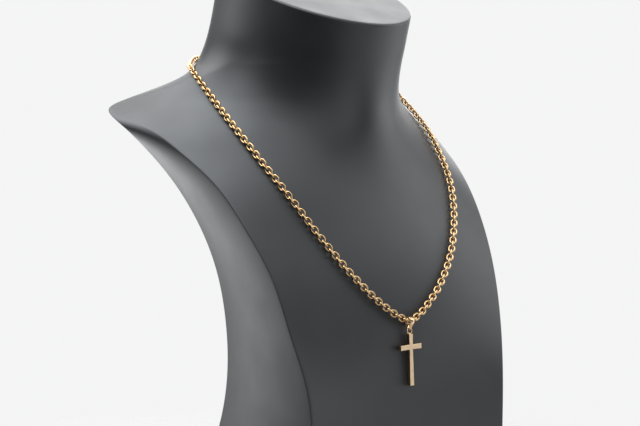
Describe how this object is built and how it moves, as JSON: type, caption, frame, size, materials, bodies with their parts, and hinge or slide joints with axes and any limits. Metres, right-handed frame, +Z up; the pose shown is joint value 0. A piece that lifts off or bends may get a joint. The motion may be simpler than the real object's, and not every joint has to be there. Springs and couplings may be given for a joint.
{
  "type": "cross necklace on neck bust",
  "caption": "Bevelled cross on a ring and drop-shaped bail, hanging from a cable chain that closes behind the neck of a plain dark display bust.",
  "frame": {"origin": "middle of the bounding box on the base plane of the bust", "axes": "+Z up, -Y to the front of the bust, +X to the right of a viewer who faces the bust"},
  "size_m": [0.182, 0.1385, 0.2534],
  "materials": {
    "bust_skin": "satin charcoal",
    "chain_metal": "polished gold colour",
    "cross_metal": "satin pale gold colour with polished bevels"
  },
  "bodies": {
    "stand": {"bust": "bust_skin", "chain": "chain_metal", "clasp": "chain_metal"},
    "bail": {"bail": "chain_metal"},
    "cross": {"cross": "cross_metal"}
  },
  "joints": [
    {"name": "bail_swing", "type": "hinge", "parent": "stand", "child": "bail", "pos_m": [0, -0.06696, 0.07855], "axis": [-1, 0, 0], "range_deg": [0, 80]},
    {"name": "cross_swing", "type": "hinge", "parent": "bail", "child": "cross", "pos_m": [0, -0.06696, 0.07415], "axis": [0, 1, 0], "range_deg": [-45, 45]}
  ]
}
